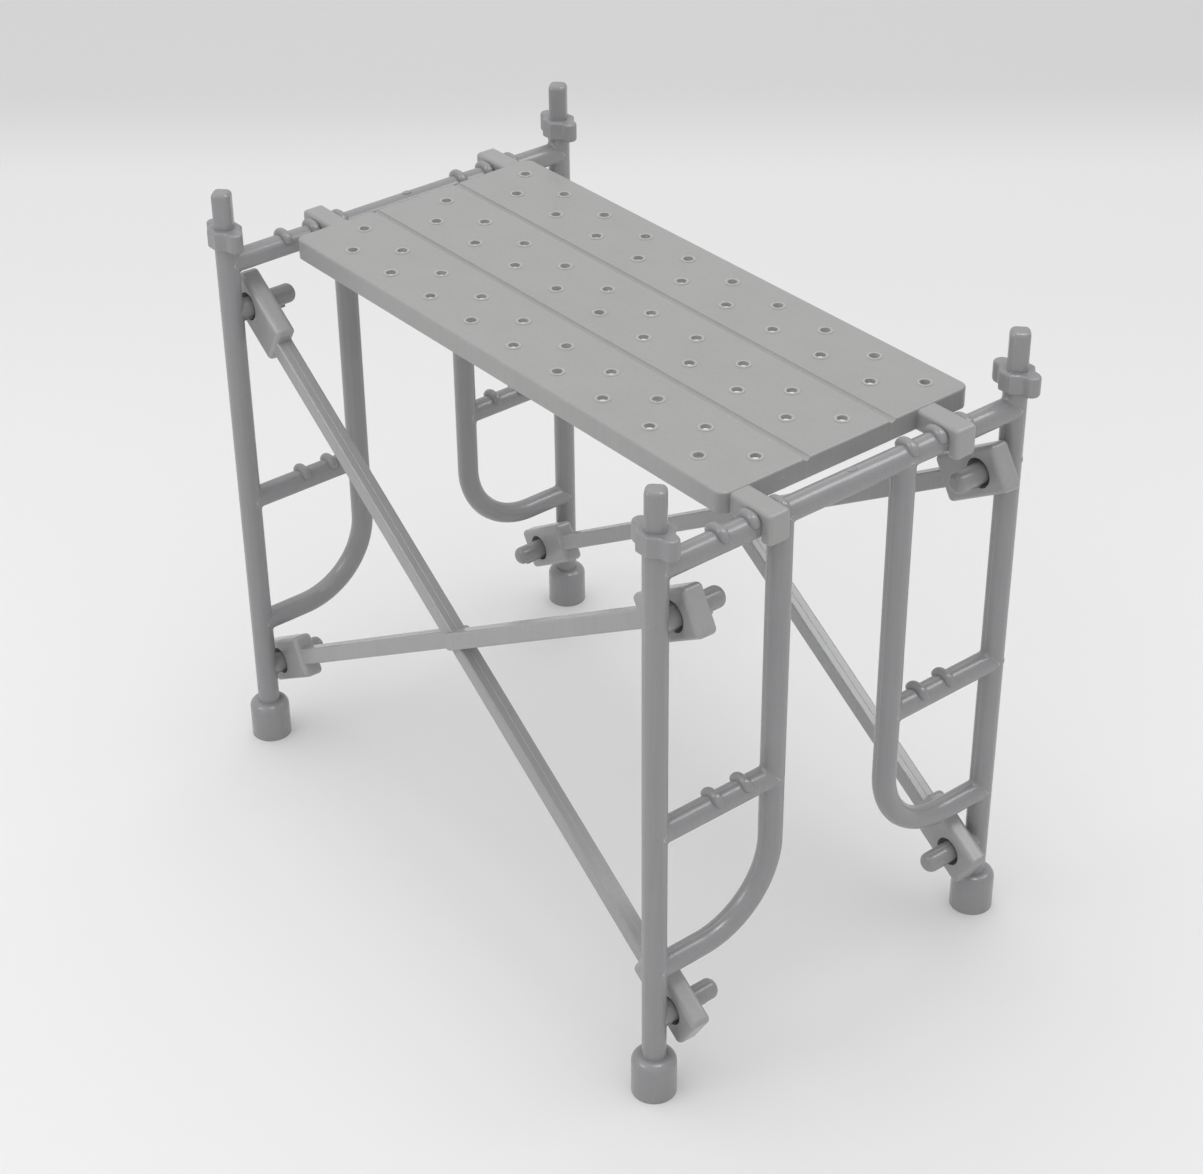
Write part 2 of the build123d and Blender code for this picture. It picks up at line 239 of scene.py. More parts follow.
def flow_group():
    """Faint streaks along Z, where the plastic flowed into the uprights."""
    tree, enter, leave = new_group("flow_streaks", ["Width"], ["Mask"])
    turns = maths(tree, "DIVIDE", 1.0, enter.outputs["Width"])
    streaks = noise(tree, turns, 2.0, stretch=(1, 1, 0.04))
    tree.links.new(streaks, leave.inputs["Mask"])
    return tree


def placed(tree, group, **values):
    """A shared effect, placed in a material with its own values."""
    node = tree.nodes.new("ShaderNodeGroup")
    node.node_tree = bpy.data.node_groups[group]
    for socket, value in values.items():
        node.inputs[socket].default_value = value
    return node


STREAK_SHADE = 0.025            # how much lighter or darker a flow streak is
MOTTLE_SHADE = 0.10


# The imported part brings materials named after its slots, so these have other names.
def moulded_plastic(name, base, wear_and_highlight, grain, wear_and_highlight_width, roughness=0.24, wear_and_highlight_amount=0.5):
    """Satin moulded plastic: grain, slow mottling, flow streaks, and paler sharp edges, partly wear
    and partly a painted highlight.
    """
    material = bpy.data.materials.new(name)
    material.use_nodes = True
    tree = material.node_tree
    shader = tree.nodes["Principled BSDF"]
    shader.inputs["IOR"].default_value = 1.49
    shader.inputs["Metallic"].default_value = 0.0
    mottle = placed(tree, "soft_mottle", Size=9 * MM, Amount=MOTTLE_SHADE)
    streaks = placed(tree, "flow_streaks", Width=0.7 * MM)
    # Band along sharp edges: partly wear, partly a painted highlight.
    edges = placed(tree, "worn_and_highlit_edges", Width=wear_and_highlight_width)
    texture = placed(tree, "mould_grain", Size=grain)

    streak_shade = remap(tree, streaks.outputs["Mask"], 0.3, 0.7,
                         1 - STREAK_SHADE, 1 + STREAK_SHADE)
    shade = maths(tree, "MULTIPLY", mottle.outputs["Shade"], streak_shade)
    toned = add_node(tree, "ShaderNodeVectorMath", {0: (*base,), "Scale": shade},
                     operation="SCALE").outputs["Vector"]
    # The paler edge band mixed into the colour: partly wear, partly a painted highlight.
    edge_share = maths(tree, "MULTIPLY", edges.outputs["Mask"], wear_and_highlight_amount)
    # The Mix node repeats its socket names for each data type, so its colours go by number.
    mixed = add_node(tree, "ShaderNodeMix", {"Factor": edge_share, 6: toned, 7: (*wear_and_highlight, 1.0)},
                     data_type="RGBA")
    tree.links.new(mixed.outputs[2], shader.inputs["Base Color"])

    rough = remap(tree, texture.outputs["Mask"], 0.25, 0.75, roughness - 0.04, roughness + 0.05)
    tree.links.new(rough, shader.inputs["Roughness"])
    bump = add_node(tree, "ShaderNodeBump", {
        "Height": texture.outputs["Height"], "Strength": 0.5, "Distance": 0.005 * MM})
    tree.links.new(bump.outputs["Normal"], shader.inputs["Normal"])
    return material


def make_materials():
    """Build the shared effects once, and then the four plastics."""
    finish = bpy.context.scene.scaffold_finish
    for build in (grain_group, mottle_group, edge_group, flow_group):
        build()
    wear_and_highlight = finish.wear_and_highlight_colour
    common = {"grain": finish.grain, "wear_and_highlight_width": finish.wear_and_highlight_width}
    moulded_plastic("moulded_frame", finish.frame_colour, wear_and_highlight, **common)
    moulded_plastic("moulded_brace", finish.brace_colour, wear_and_highlight, roughness=0.22, **common)
    moulded_plastic("moulded_deck", finish.deck_colour, wear_and_highlight, roughness=0.34, **common)
    # Rim plastic: its paler colour is a painted highlight on the raised rims.
    moulded_plastic("moulded_rim_painted_highlight", finish.rim_highlight_colour, wear_and_highlight, roughness=0.5, **common)


# ---------------------------------------------------------------- mesh helpers
def smooth_object(name, verts, faces, body, material):
    """A closed smooth mesh in the row frame, riding on a body."""
    mesh = bpy.data.meshes.new(name)
    mesh.from_pydata([tuple(v) for v in verts], [], faces)
    mesh.validate()
    mesh.polygons.foreach_set("use_smooth", [True] * len(mesh.polygons))
    piece = bpy.data.objects.new(name, mesh)
    bpy.context.scene.collection.objects.link(piece)
    mesh.materials.append(bpy.data.materials[material])
    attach(piece, body)
    return piece


class Shape:
    """Points and faces of a piece that is put together from closed grids."""

    def __init__(self):
        self.verts = []
        self.faces = []

    def loops(self, rows, closed=False):
        """Rows of points, each a closed loop; the rows close on each other or are capped."""
        base = len(self.verts)
        count = len(rows[0])
        for row in rows:
            self.verts.extend(row)
        steps = len(rows) if closed else len(rows) - 1
        for i in range(steps):
            one = base + i * count
            two = base + (i + 1) % len(rows) * count
            for j in range(count):
                k = (j + 1) % count
                self.faces.append((one + j, one + k, two + k, two + j))
        if not closed:
            self.faces.append(tuple(base + j for j in reversed(range(count))))
            self.faces.append(tuple(base + (len(rows) - 1) * count + j for j in range(count)))

    def make(self, name, body, material):
        """Finish the shape as one piece that rides on a body."""
        piece = smooth_object(name, self.verts, self.faces, body, material)
        fix_normals(piece.data)
        return piece


def fix_normals(mesh):
    """Turn the faces outward and keep the corners sharper than 40 degrees crisp."""
    work = bmesh.new()
    work.from_mesh(mesh)
    bmesh.ops.recalc_face_normals(work, faces=work.faces)
    work.to_mesh(mesh)
    work.free()
    mesh.set_sharp_from_angle(angle=radians(40))


def middle(node):
    """Middle of a CAD node's box."""
    low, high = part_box(node)
    return (low + high) / 2


def turns(count):
    """Evenly spaced angles of one full turn."""
    return [2 * pi * i / count for i in range(count)]


# ---------------------------------------------------------------- end frames
FILLET_STEPS = 8
FILLET_TURNS = 56
SINK = 0.03 * MM                # how far a detail is let into the surface that carries it
FILLET_CORE = 8 * SINK          # how deep the hidden side of a fillet lies


def fillet_ring(shape, joint, way, parent_way, tube_r, parent_r, reach):
    """Concave ring where a tube leaves its parent tube; joint is on both axes."""
    side = parent_way.cross(way)

    def wall(radius, turn):
        """How far along the way the parent's surface is, at a radius about the tube's axis."""
        return sqrt(max(parent_r ** 2 - (radius * sin(turn)) ** 2, 0))

    rows = []
    for turn in turns(FILLET_TURNS):
        outward = parent_way * cos(turn) + side * sin(turn)
        size_here = reach * (1 - tube_r / parent_r * sin(turn) ** 2) ** 0.7
        on_parent = (wall(tube_r + size_here, turn) - SINK, tube_r + size_here)
        corner = (wall(tube_r, turn) - SINK, tube_r - SINK)
        on_tube = (corner[0] + size_here + SINK, tube_r - SINK)
        row = []
        for step in range(FILLET_STEPS + 1):
            share = step / FILLET_STEPS
            weights = ((1 - share) ** 2, 2 * share * (1 - share), share ** 2)
            along, radius = (sum(w * p[axis] for w, p in zip(weights, (on_parent, corner, on_tube)))
                             for axis in (0, 1))
            row.append(joint + way * along + outward * radius)
        inner = tube_r - FILLET_CORE
        row.append(joint + way * on_tube[0] + outward * inner)
        row.append(joint + way * (on_parent[0] - FILLET_CORE) + outward * inner)
        rows.append(row)
    shape.loops(rows, closed=True)


def frame_joints(end):
    """(joint, way the tube leaves, parent's way, tube radius, parent radius) of one frame."""
    up = Vector((0, 0, 1))
    crossbar = middle(f"{end}_crossbar")
    tube_r = (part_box(f"{end}_crossbar")[1].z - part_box(f"{end}_crossbar")[0].z) / 2
    for side, sign in SIDES.items():
        post = middle(f"{end}_{side}_post")
        inward = Vector((0, -sign, 0))
        low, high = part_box(f"{end}_{side}_stiffener")
        stiffener_y = (low.y if sign > 0 else high.y) + sign * tube_r
        rung_z = middle(f"{end}_{side}_rung").z
        at_post = [crossbar.z, rung_z, low.z + tube_r]
        for z in at_post:
            yield Vector((post.x, post.y, z)), inward, up, tube_r, tube_r
        yield Vector((post.x, stiffener_y, rung_z)), -inward, up, tube_r, tube_r
        yield Vector((post.x, stiffener_y, crossbar.z)), -up, inward, tube_r, tube_r
        for level in LEVELS:
            low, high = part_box(f"{end}_{side}_{level}_peg")
            peg_r = (high.x - low.x) / 2
            yield Vector((post.x, post.y, high.z - peg_r)), inward, up, peg_r, tube_r


class SCAFFOLD_OT_frame_finish(bpy.types.Operator):
    """Give the tubes, feet, pegs and stops of both end frames their plastic."""
    bl_idname = "scaffold.frame_finish"
    bl_label = "Frame finish"

    def execute(self, context):
        paint("frames", "moulded_frame")
        return {"FINISHED"}


class SCAFFOLD_OT_fillets(bpy.types.Operator):
    """Add the soft fillets where the tubes and pegs of the end frames meet."""
    bl_idname = "scaffold.fillets"
    bl_label = "Tube fillets"

    def execute(self, context):
        reach = context.scene.scaffold_sizes.fillet
        for end in ENDS:
            shape = Shape()
            for joint in frame_joints(end):
                fillet_ring(shape, *joint, reach)
            shape.make(f"{end}_frame_fillets", "frames", "moulded_frame")
        return {"FINISHED"}


PIN_TURNS = 64
PIN_FLAT = 0.15                 # depth of a pin's flats as a share of its radius
DOME_STEPS = 8
PIN_START = (-0.5 * MM, 0.6 * MM)   # lowest two rings of a pin, from the top of its collar
CAP_INSET = 0.5 * MM            # extra inset of the flat that closes a rounded end


def pin_radius(turn, largest):
    """Plan of a pin: round, with four shallow flats between ribs on the X and Y axes."""
    return largest * (1 - PIN_FLAT * abs(sin(2 * turn)) ** 1.4)


class SCAFFOLD_OT_pins(bpy.types.Operator):
    """Make the four stacking pins with their soft tops and shallow flats."""
    bl_idname = "scaffold.pins"
    bl_label = "Stacking pins"

    def execute(self, context):
        dome = context.scene.scaffold_sizes.pin_dome
        for end in ENDS:
            for side in SIDES:
                node = f"{end}_{side}_pin"
                low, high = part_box(node)
                centre = (low + high) / 2
                largest = (high.x - low.x) / 2
                collar_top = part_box(f"{end}_{side}_collar")[1].z
                levels = [(collar_top + rise, 0.0) for rise in PIN_START]
                for step in range(DOME_STEPS + 1):
                    turn = pi / 2 * step / DOME_STEPS
                    levels.append((high.z - dome * (1 - sin(turn)), dome * (1 - cos(turn))))
                levels.append((high.z, dome + CAP_INSET))
                rows = []
                for z, inset in levels:
                    rows.append([Vector((centre.x + (pin_radius(t, largest) - inset) * cos(t),
                                         centre.y + (pin_radius(t, largest) - inset) * sin(t),
                                         z)) for t in turns(PIN_TURNS)])
                shape = Shape()
                shape.loops(rows)
                piece = shape.make(f"{node}_moulded", "frames", "moulded_frame")
                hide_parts(node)
        return {"FINISHED"}


COLLAR_TURNS = 144
COLLAR_STEPS = 6
COLLAR_CAP_INSET = 0.4 * MM     # extra inset of the flats that close a collar
COLLAR_BLEND = 0.35 * MM        # swelling in the corners between the body and its ears
BLEND_REACH = 2.5               # how far it reaches, in multiples of that swelling


def collar_radius(turn, body, reach, half_ear):
    """Plan of a collar: an eight-sided body with a round-ended ear on each side along X."""
    c, s = abs(cos(turn)), abs(sin(turn))
    sector = (turn + pi / 8) % (pi / 4) - pi / 8
    octagon = body / cos(sector)
    centre = reach - half_ear
    inside = half_ear ** 2 - (centre * s) ** 2
    ear = centre * c + sqrt(inside) if inside > 0 else 0.0
    side = half_ear / s if s > 1e-6 else reach
    if inside <= 0 or side * c < centre:
        ear = min(side, reach)
    high, low = max(octagon, ear), min(octagon, ear)
    closeness = max(0.0, 1 - (high - low) / (BLEND_REACH * COLLAR_BLEND))
    return high + COLLAR_BLEND * closeness ** 2 / 2


class SCAFFOLD_OT_collars(bpy.types.Operator):
    """Make the four eared collars under the stacking pins."""
    bl_idname = "scaffold.collars"
    bl_label = "Collars"

    def execute(self, context):
        sizes = context.scene.scaffold_sizes
        edge = sizes.round_edge
        for end in ENDS:
            for side in SIDES:
                node = f"{end}_{side}_collar"
                low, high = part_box(node)
                centre = (low + high) / 2
                plan = [(t, collar_radius(t, sizes.collar, (high.x - low.x) / 2,
                                          sizes.ear_width / 2)) for t in turns(COLLAR_TURNS)]
                levels = [(low.z, edge + COLLAR_CAP_INSET)]
                for step in reversed(range(COLLAR_STEPS + 1)):
                    turn = pi / 2 * step / COLLAR_STEPS
                    levels.append((low.z + edge * (1 - sin(turn)), edge * (1 - cos(turn))))
                upper = [(low.z + high.z - z, inset) for z, inset in reversed(levels)]
                rows = []
                for z, inset in levels + upper:
                    rows.append([Vector((centre.x + (r - inset) * cos(t),
                                         centre.y + (r - inset) * sin(t), z))
                                 for t, r in plan])
                shape = Shape()
                shape.loops(rows)
                piece = shape.make(f"{node}_moulded", "frames", "moulded_frame")
                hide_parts(node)
        return {"FINISHED"}


STOP_STEPS = 36
STOP_TURNS = 20
STOP_REACH = radians(80)        # how far a stop goes round from its crown, to each side
STOP_TIP = 0.30                 # share of that reach over which its end is rounded off
STOP_WAVE = 0.05                # unevenness of its thickness, as a share of its radius


def stop_bead(shape, centre, wire_r, ring_r):
    """A soft half ring over a tube that runs along Y."""
    rows = []
    for step in range(STOP_STEPS + 1):
        share = 2 * step / STOP_STEPS - 1
        lean = STOP_REACH * share
        out = Vector((sin(lean), 0, cos(lean)))
        tip = max(0.0, (abs(share) - 1 + STOP_TIP) / STOP_TIP)
        thick = wire_r * (sqrt(1 - 0.999 * tip ** 2) - STOP_WAVE * cos(5 * lean))
        rows.append([centre + out * (ring_r + thick * cos(t)) + Vector((0, thick * sin(t), 0))
                     for t in turns(STOP_TURNS)])
    shape.loops(rows)


class SCAFFOLD_OT_stops(bpy.types.Operator):
    """Make the soft half-ring stops of the crossbars and rungs."""
    bl_idname = "scaffold.stops"
    bl_label = "Stops"

    def execute(self, context):
        sizes = context.scene.scaffold_sizes
        for end in ENDS:
            for node, tube, steps in ((f"{end}_crossbar_stops", f"{end}_crossbar", (-1, 0, 1)),
                                      (f"{end}_rung_stops", f"{end}_front_rung", (0, 1))):
                low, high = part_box(node)
                centre = (low + high) / 2
                centre.z = middle(tube).z + sizes.stop_lift
                outer = (high.y - low.y) / 2 - sizes.stop_wire
                shape = Shape()
                for side in SIDES.values():
                    for step in steps:
                        across = outer - (steps[-1] - step) * sizes.stop_pitch
                        stop_bead(shape, centre + Vector((0, side * across, 0)),
                                  sizes.stop_wire, sizes.stop_ring)
                piece = shape.make(f"{node}_moulded", "frames", "moulded_frame")
                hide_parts(node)
        return {"FINISHED"}


# Section of a parting line, in shares of its width and height.
RIDGE = ((-0.5, -0.5), (-0.5, 0.1), (-0.3, 0.75), (0, 1.0), (0.3, 0.75), (0.5, 0.1),
         (0.5, -0.5))


def ridge(shape, places, ups, width, height):
    """A fine half-round line through the places, standing up from the surface."""
    rows = []
    for index, (place, up) in enumerate(zip(places, ups)):
        along = places[min(index + 1, len(places) - 1)] - places[max(index - 1, 0)]
        side = up.cross(along).normalized()
        rows.append([place + side * width * a + up * height * b for a, b in RIDGE])
    shape.loops(rows)


BEND_STEPS = 16


def stiffener_path(end, side, sign, tube_r):
    """Axis of a stiffener from under the crossbar to the post, and the ways out of its bend."""
    low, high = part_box(f"{end}_{side}_stiffener")
    bend_r = bpy.context.scene.scaffold_sizes.bend
    x = (low.x + high.x) / 2
    y = (low.y if sign > 0 else high.y) + sign * tube_r
    bottom = low.z + tube_r
    post_y = middle(f"{end}_{side}_post").y
    places = [Vector((x, y, high.z))]
    ups = [Vector((0, -sign, 0))]
    for step in range(BEND_STEPS + 1):
        turn = pi / 2 * step / BEND_STEPS
        ups.append(Vector((0, -sign * cos(turn), -sin(turn))))
        places.append(Vector((x, y + sign * bend_r, bottom + bend_r)) + ups[-1] * bend_r)
    ups.append(Vector((0, 0, -1)))
    places.append(Vector((x, post_y - sign * tube_r, bottom)))
    return places, ups


class SCAFFOLD_OT_frame_lines(bpy.types.Operator):
    """Add the parting lines along the tubes and pegs of both end frames."""
    bl_idname = "scaffold.frame_lines"
    bl_label = "Frame parting lines"

    def execute(self, context):
        sizes = context.scene.scaffold_sizes
        width, height = sizes.seam_width, sizes.seam_height
        for end in ENDS:
            shape = Shape()

            def both_sides(places, ups, radius):
                for face in (1, -1):
                    lifted = [p + up * face * (radius - SINK / 3) for p, up in zip(places, ups)]
                    ridge(shape, lifted, [up * face for up in ups], width, height)

            def straight(start, stop, up, radius):
                both_sides([start, stop], [up, up], radius)

            up = Vector((0, 0, 1))
            low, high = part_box(f"{end}_crossbar")
            bar = (low + high) / 2
            tube_r = (high.z - low.z) / 2
            straight(Vector((bar.x, low.y, bar.z)), Vector((bar.x, high.y, bar.z)), up, tube_r)
            for side, sign in SIDES.items():
                post = middle(f"{end}_{side}_post")
                foot_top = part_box(f"{end}_{side}_foot")[1].z
                straight(Vector((post.x, post.y, foot_top)),
                         Vector((post.x, post.y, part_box(f"{end}_{side}_post")[1].z)),
                         Vector((0, 1, 0)), tube_r)
                both_sides(*stiffener_path(end, side, sign, tube_r), tube_r)
                for node in ("rung", "upper_peg", "lower_peg"):
                    low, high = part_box(f"{end}_{side}_{node}")
                    radius = (high.x - low.x) / 2
                    axis_z = high.z - radius
                    inset = sizes.peg_round if "peg" in node else 0
                    ends = sorted((low.y, high.y), key=lambda y: abs(y - post.y))
                    straight(Vector((bar.x, ends[0], axis_z)),
                             Vector((bar.x, ends[1] + sign * inset, axis_z)), up, radius)
            shape.make(f"{end}_frame_lines", "frames", "moulded_frame")
        return {"FINISHED"}


MARK_TURNS = 28
# Rings of a mark from its foot to its dished top, in shares of its plan and of its height.
MARK_RINGS = ((1.0, -0.3), (1.0, 0.55), (0.86, 0.9), (0.6, 1.0), (0.3, 0.8))
# Half length, half width and height of each kind of mark.
CROSSBAR_MARK = (1.2 * MM, 0.7 * MM, 0.22 * MM)
POST_MARK = (0.55 * MM, 0.5 * MM, 0.14 * MM)
DECK_MARK = (0.9 * MM, 0.3 * MM, 0.12 * MM)
CROSSBAR_MARK_Y = 1.9 * MM      # from the middle of the crossbar
POST_MARK_TURN = radians(37)    # from X, round the outer side of the post
POST_MARK_DROP = 2 * MM         # from the top of the upper peg down to the post's upper mark
DECK_MARK_Y = 17.3 * MM         # from the middle of the deck, opposite ways at its two ends


def oval_mark(shape, place, normal, long_way, half_long, half_wide, height):
    """A low oval button, as a trimmed moulding gate leaves."""
    wide_way = normal.cross(long_way)
    rows = []
    for share, lift in MARK_RINGS:
        rows.append([place + normal * height * lift
                     + long_way * half_long * share * cos(t)
                     + wide_way * half_wide * share * sin(t) for t in turns(MARK_TURNS)])
    shape.loops(rows)


class SCAFFOLD_OT_gate_marks(bpy.types.Operator):
    """Add the small marks that the moulding gates left on the crossbars, posts and deck."""
    bl_idname = "scaffold.gate_marks"
    bl_label = "Gate marks"

    def execute(self, context):
        up = Vector((0, 0, 1))
        for end, end_sign in ENDS.items():
            shape = Shape()
            low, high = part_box(f"{end}_crossbar")
            top = Vector(((low.x + high.x) / 2, (low.y + high.y) / 2, high.z))
            top.y += CROSSBAR_MARK_Y
            oval_mark(shape, top, up, Vector((0, 1, 0)), *CROSSBAR_MARK)
            for side, side_sign in SIDES.items():
                post = middle(f"{end}_{side}_post")
                post_low, post_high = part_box(f"{end}_{side}_post")
                post_r = (post_high.x - post_low.x) / 2
                out = Vector((end_sign * cos(POST_MARK_TURN),
                              side_sign * sin(POST_MARK_TURN), 0))
                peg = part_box(f"{end}_{side}_upper_peg")[1].z
                for z in (peg - POST_MARK_DROP, middle(f"{end}_{side}_rung").z):
                    place = Vector((post.x, post.y, z)) + out * (post_r - SINK)
                    oval_mark(shape, place, out, up, *POST_MARK)
            shape.make(f"{end}_frame_gate_marks", "frames", "moulded_frame")
        shape = Shape()
        low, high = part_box("deck_front_panel")
        for end_sign in ENDS.values():
            x = high.x if end_sign > 0 else low.x
            place = Vector((x, middle("deck_middle_panel").y - end_sign * DECK_MARK_Y,
                            (low.z + high.z) / 2))
            out = Vector((end_sign, 0, 0))
            oval_mark(shape, place, out, Vector((0, 1, 0)), *DECK_MARK)
        shape.make("deck_gate_marks", "deck", "moulded_deck")
        return {"FINISHED"}


# ---------------------------------------------------------------- braces
class SCAFFOLD_OT_brace_finish(bpy.types.Operator):
    """Give both braces their plastic and the parting lines along their bars and eyes."""
    bl_idname = "scaffold.brace_finish"
    bl_label = "Brace finish"

    def execute(self, context):
        sizes = context.scene.scaffold_sizes
        half_bar = sizes.bar / 2
        for side, sign in SIDES.items():
            paint(f"{side}_brace", "moulded_brace")
            eyes = {(end, level): middle(f"{side}_brace_{end}_{level}_eye")
                    for end in ENDS for level in LEVELS}
            cross = sum(eyes.values(), Vector()) / 4
            along_bay = (eyes["right", "upper"] - eyes["left", "upper"]).normalized()
            outward = along_bay.cross(Vector((0, 0, 1))) * (-sign)
            shape = Shape()
            width, height = sizes.seam_width, sizes.seam_height

            def line(a, b, lift):
                """Two lines, on the upper and the lower face of a bar from a to b."""
                way = (b - a).normalized()
                normal = way.cross(outward).normalized()
                for face in (1, -1):
                    ridge(shape, [a + normal * face * lift, b + normal * face * lift],
                          [normal * face] * 2, width, height)

            # The front brace's upper arm is on the right; the rear brace is turned about Z.
            high_arm = "right" if sign < 0 else "left"
            low_arm = "left" if sign < 0 else "right"
            line(eyes[low_arm, "upper"], eyes[high_arm, "lower"], half_bar)
            step = outward * sizes.arm_step
            line(eyes[high_arm, "upper"], cross + step, half_bar)
            line(eyes[low_arm, "lower"], cross - step, half_bar)
            shape.make(f"{side}_brace_parting_lines", f"{side}_brace", "moulded_brace")
        return {"FINISHED"}


# ---------------------------------------------------------------- deck
RIM_TURNS = 36
RIM_SECTION = 10
RIM_RISE = 0.12 * MM            # how far the deck's box stands above its flat top


def deck_holes(sizes):
    """Middles of all the deck holes, two staggered rows to each of the three panels."""
    low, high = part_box("deck_middle_panel")
    pitch = high.y - low.y
    centre = (low + high) / 2
    for panel in (-1, 0, 1):
        for row, count in ((1, sizes.row_holes), (-1, sizes.row_holes - 1)):
            for index in range(count):
                yield Vector((centre.x + (index - (count - 1) / 2) * sizes.hole_pitch,
                              centre.y + panel * pitch + row * sizes.row_gap / 2, 0))


class SCAFFOLD_OT_deck_finish(bpy.types.Operator):
    """Give the deck and its hooks their plastic and the holes their raised rims."""
    bl_idname = "scaffold.deck_finish"
    bl_label = "Deck finish"

    def execute(self, context):
        sizes = context.scene.scaffold_sizes
        paint("deck", "moulded_deck")
        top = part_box("deck_middle_panel")[1].z - RIM_RISE
        shape = Shape()
        ring_r = sizes.hole + sizes.rim_width / 2
        for hole in deck_holes(sizes):
            rows = []
            for t in turns(RIM_TURNS):
                out = Vector((cos(t), sin(t), 0))
                row = []
                for turn in turns(RIM_SECTION):
                    row.append(hole + out * (ring_r + sizes.rim_width / 2 * cos(turn))
                               + Vector((0, 0, top + sizes.rim_height * sin(turn))))
                rows.append(row)
            shape.loops(rows, closed=True)
        # The rims' paler plastic is a painted highlight.
        shape.make("deck_hole_rims", "deck", "moulded_rim_painted_highlight")
        return {"FINISHED"}


def paint(body, material):
    """Give every CAD node of a body one of the moulded plastics."""
    for node in frame["record"]["behaviour"]["bodies"][body]:
        mesh = frame["nodes"][node].data
        mesh.materials.clear()
        mesh.materials.append(bpy.data.materials[material])


# ---------------------------------------------------------------- studio
FLOOR_HALF = 3.0
FAR_START = 0.34                # where the second, deeper step of painted shade on the paper starts, past the object
FAR_END = 0.44
LIT_POINT = (0, 0, 0.07)        # what every lamp is turned to
# Name, place, width in metres, power in watts, and whether it shows only as a highlight.
LAMPS = (
    ("softbox_top", (-0.25, 0.05, 1.20), 1.0, 1.9, False),
    ("softbox_front", (-0.10, -0.80, 0.70), 0.5, 0.78, False),
    ("glint_top", (0.28, 0.05, 1.00), 0.34, 3.0, True),
    ("glint_rear", (0.30, 0.60, 0.85), 0.34, 2.0, True),
    ("glint_front", (-0.25, -0.75, 0.80), 0.34, 2.0, True),
)


def floor_material(studio):
    """Pale matt paper with painted shade: from the object's middle it darkens away from the camera,
    and darker still well behind the object.
    """
    material = bpy.data.materials.new("studio_paper")
    material.use_nodes = True
    tree = material.node_tree
    shader = tree.nodes["Principled BSDF"]
    shader.inputs["Specular IOR Level"].default_value = 0.0
    place = add_node(tree, "ShaderNodeTexCoord").outputs["Object"]
    away = (-sin(studio.azimuth), cos(studio.azimuth), 0)
    distance = add_node(tree, "ShaderNodeVectorMath", {0: place, 1: away},
                        operation="DOT_PRODUCT").outputs["Value"]
    paper = (*studio.floor_colour, 1.0)
    # Painted shade: the paper darkens in two steps with distance away from the camera.
    for start, stop, tone in ((0.0, FAR_START, studio.middle_shade_colour),
                              (FAR_START, FAR_END, studio.far_shade_colour)):
        share = add_node(tree, "ShaderNodeMapRange", {
            "Value": distance, "From Min": start, "From Max": stop},
            interpolation_type="SMOOTHSTEP").outputs["Result"]
        mixed = add_node(tree, "ShaderNodeMix", {"Factor": share, 6: paper, 7: (*tone, 1.0)},
                         data_type="RGBA")
        paper = mixed.outputs[2]
    tree.links.new(paper, shader.inputs["Base Color"])
    tree.links.new(remap(tree, noise(tree, 900.0, 3.0), 0.3, 0.7, 0.62, 0.72),
                   shader.inputs["Roughness"])
    return material


def area_light(name, place, width, power, glints_only):
    """A square lamp turned to the object; a glint lamp doesn't light the paper."""
    lamp = bpy.data.lights.new(name, "AREA")
    lamp.size = width
    lamp.energy = power
    light = bpy.data.objects.new(name, lamp)
    light.location = place
    light.rotation_mode = "QUATERNION"
    light.rotation_quaternion = (Vector(LIT_POINT) - Vector(place)).to_track_quat("-Z", "Y")
    light.visible_diffuse = not glints_only
    bpy.context.scene.collection.objects.link(light)


def room():
    """An even pale room, a little darker near the floor, that the gloss can mirror."""
    world = bpy.data.worlds.new("studio_room")
    world.use_nodes = True
    tree = world.node_tree
    sky = tree.nodes["Background"]
    sky.inputs["Color"].default_value = (1, 1, 1, 1)
    way = add_node(tree, "ShaderNodeTexCoord").outputs["Generated"]
    height = add_node(tree, "ShaderNodeSeparateXYZ", {0: way}).outputs["Z"]
    tree.links.new(remap(tree, height, -0.1, 0.9, 0.54, 1.05), sky.inputs["Strength"])
    return world


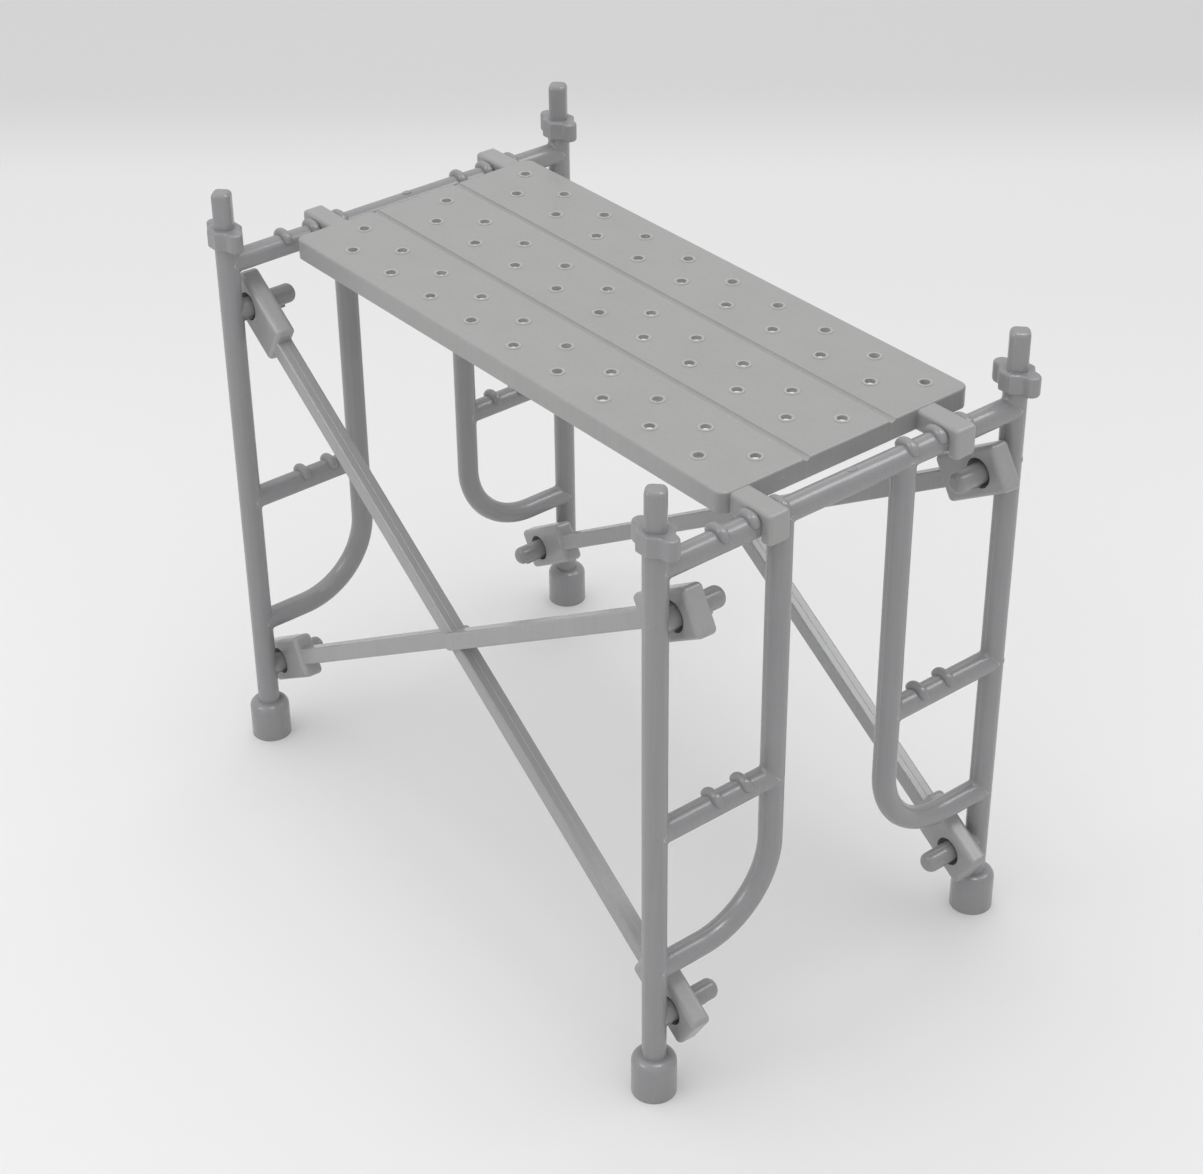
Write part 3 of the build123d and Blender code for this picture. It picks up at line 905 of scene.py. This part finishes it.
class SCAFFOLD_OT_studio(bpy.types.Operator):
    """Set up the camera, the pale floor and the soft lights."""
    bl_idname = "scaffold.studio"
    bl_label = "Studio"

    def execute(self, context):
        studio = context.scene.scaffold_studio
        camera_data = bpy.data.cameras.new("camera")
        camera_data.lens = studio.lens
        camera_data.sensor_width = 36
        camera_data.clip_start = 0.01
        camera_data.clip_end = 20
        camera_data.shift_x = studio.shift_x
        camera_data.shift_y = studio.shift_y
        camera = bpy.data.objects.new("camera", camera_data)
        camera.matrix_world = (Matrix.Translation(studio.camera_place)
                               @ Matrix.Rotation(studio.azimuth, 4, "Z")
                               @ Matrix.Rotation(pi / 2 - studio.elevation, 4, "X")
                               @ Matrix.Rotation(studio.roll, 4, "Z"))
        context.scene.collection.objects.link(camera)
        context.scene.camera = camera

        floor_mesh = bpy.data.meshes.new("studio_floor")
        h = FLOOR_HALF
        floor_mesh.from_pydata([(-h, -h, 0), (h, -h, 0), (h, h, 0), (-h, h, 0)], [],
                               [(0, 1, 2, 3)])
        floor = bpy.data.objects.new("studio_floor", floor_mesh)
        floor.location.z = CAD_BOX[0].z
        floor_mesh.materials.append(floor_material(studio))
        context.scene.collection.objects.link(floor)

        context.scene.world = room()
        context.scene.view_settings.view_transform = "Standard"
        for lamp in LAMPS:
            area_light(*lamp)
        return {"FINISHED"}


# ---------------------------------------------------------------- panel and registration
OPERATORS = (SCAFFOLD_OT_studio, SCAFFOLD_OT_frame_finish, SCAFFOLD_OT_fillets,
             SCAFFOLD_OT_pins, SCAFFOLD_OT_collars, SCAFFOLD_OT_stops, SCAFFOLD_OT_frame_lines,
             SCAFFOLD_OT_gate_marks, SCAFFOLD_OT_brace_finish, SCAFFOLD_OT_deck_finish)


class SCAFFOLD_PT_panel(bpy.types.Panel):
    """Sizes, finishes and steps of the scaffold bay."""
    bl_idname = "SCAFFOLD_PT_panel"
    bl_label = "Scaffold bay"
    bl_space_type = "VIEW_3D"
    bl_region_type = "UI"
    bl_category = "Scaffold"

    def draw(self, context):
        for operator in OPERATORS:
            self.layout.operator(operator.bl_idname)
        for name in GROUPS:
            settings = getattr(context.scene, name)
            box = self.layout.box()
            for item in settings.bl_rna.properties:
                if item.identifier not in ("rna_type", "name"):
                    box.prop(settings, item.identifier)


GROUPS = {"scaffold_sizes": ScaffoldSizes, "scaffold_finish": ScaffoldFinish,
          "scaffold_studio": ScaffoldStudio}
CLASSES = (*GROUPS.values(), *OPERATORS, SCAFFOLD_PT_panel)


def register():
    for each in CLASSES:
        bpy.utils.register_class(each)
    for name, group in GROUPS.items():
        setattr(bpy.types.Scene, name, PointerProperty(type=group))


def unregister():
    for name in GROUPS:
        delattr(bpy.types.Scene, name)
    for each in reversed(CLASSES):
        bpy.utils.unregister_class(each)


def main():
    """Build the object and its stage."""
    register()
    make_materials()
    for operator in OPERATORS:
        category, name = operator.bl_idname.split(".")
        getattr(getattr(bpy.ops, category), name)()


if __name__ == "__main__":
    main()
